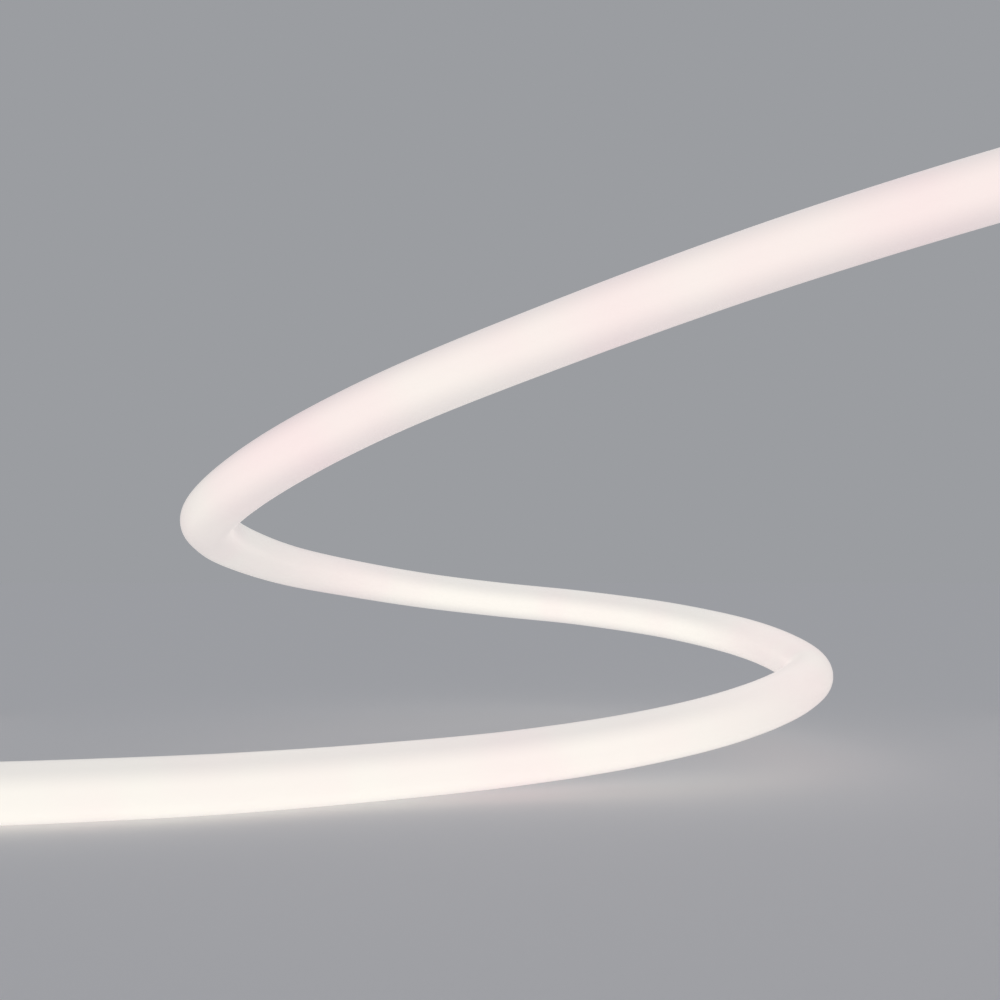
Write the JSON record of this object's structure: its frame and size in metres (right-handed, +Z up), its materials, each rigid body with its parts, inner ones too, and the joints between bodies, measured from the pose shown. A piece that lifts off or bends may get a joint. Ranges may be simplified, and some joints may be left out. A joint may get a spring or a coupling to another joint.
{
  "type": "led neon flex",
  "caption": "Round lit tube of milky silicone in one open rising turn, lying on the floor at both ends, with a plain cap and a cap with a lead inlet.",
  "frame": {"origin": "on the floor, at the centre of the flex's outline seen from above", "axes": "+X to the right and +Y away from the viewer as in the picture, +Z up from the floor"},
  "size_m": [0.6736, 0.3253, 0.2325],
  "materials": {
    "flex_silicone": "satin milky silicone, lit from within, warm white with a faint pink cast",
    "cap_silicone": "satin moulded silicone, milky grey white, unlit"
  },
  "bodies": {
    "root": {"flex_tube": "flex_silicone", "feed_cap": "cap_silicone", "end_cap": "cap_silicone"}
  },
  "joints": []
}
